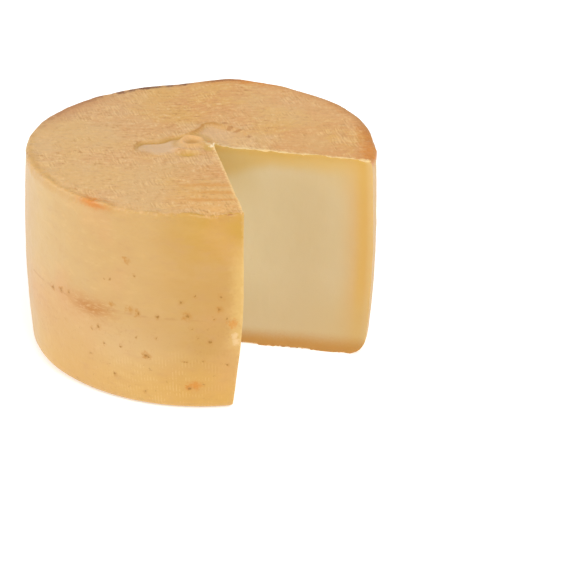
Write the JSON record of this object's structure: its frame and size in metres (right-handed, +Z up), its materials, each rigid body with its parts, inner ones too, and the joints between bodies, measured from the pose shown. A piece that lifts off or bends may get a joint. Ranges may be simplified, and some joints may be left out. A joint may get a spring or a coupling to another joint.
{
  "type": "cut cheese wheel",
  "caption": "Drum-shaped wheel of pressed ewe's-milk cheese with a golden rind printed by its press cloth and a wedge cut out, showing the ivory paste.",
  "frame": {"origin": "on the wheel's axis, at the face it stands on", "axes": "+Z up; the cut-out opens between -Y and +X, so -Y is the side that the picture shows"},
  "size_m": [0.18, 0.18, 0.1105],
  "materials": {
    "cheese": "dry golden rind with a faint satin sheen; smooth ivory paste on the cuts"
  },
  "bodies": {
    "root": {"cheese_wheel": "cheese"}
  },
  "joints": []
}
